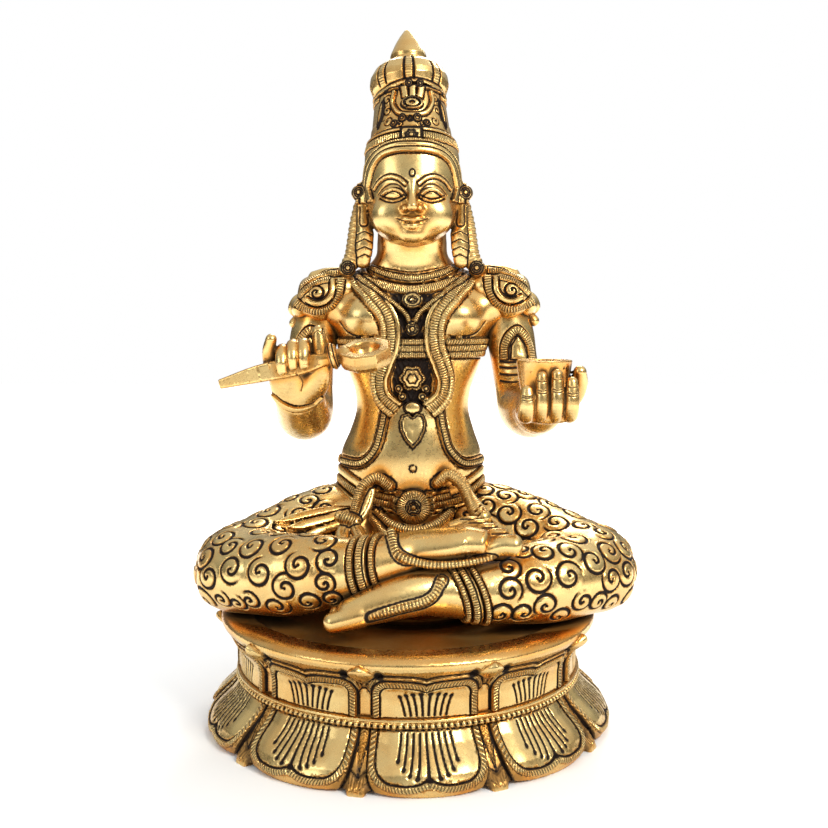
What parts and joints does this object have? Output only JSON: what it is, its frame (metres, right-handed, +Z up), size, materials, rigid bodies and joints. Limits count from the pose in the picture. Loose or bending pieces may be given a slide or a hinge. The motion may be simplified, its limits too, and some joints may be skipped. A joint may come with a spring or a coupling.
{
  "type": "seated goddess figure",
  "caption": "Brass figure of a cross-legged seated goddess with a tall crown, holding a ladle and a small food bowl, on a round double-lotus pedestal.",
  "frame": {"origin": "middle of the pedestal's flat underside", "axes": "+Z up through the crown, -Y the way the face looks, +X towards the hand with the bowl"},
  "size_m": [0.2592, 0.2456, 0.4093],
  "materials": {
    "figure_brass": "polished relief with dark brown patina left in the grooves",
    "pedestal_brass": "polished relief with dark brown patina left in the grooves"
  },
  "bodies": {
    "root": {"goddess_figure": "figure_brass", "lotus_pedestal": "pedestal_brass"}
  },
  "joints": []
}
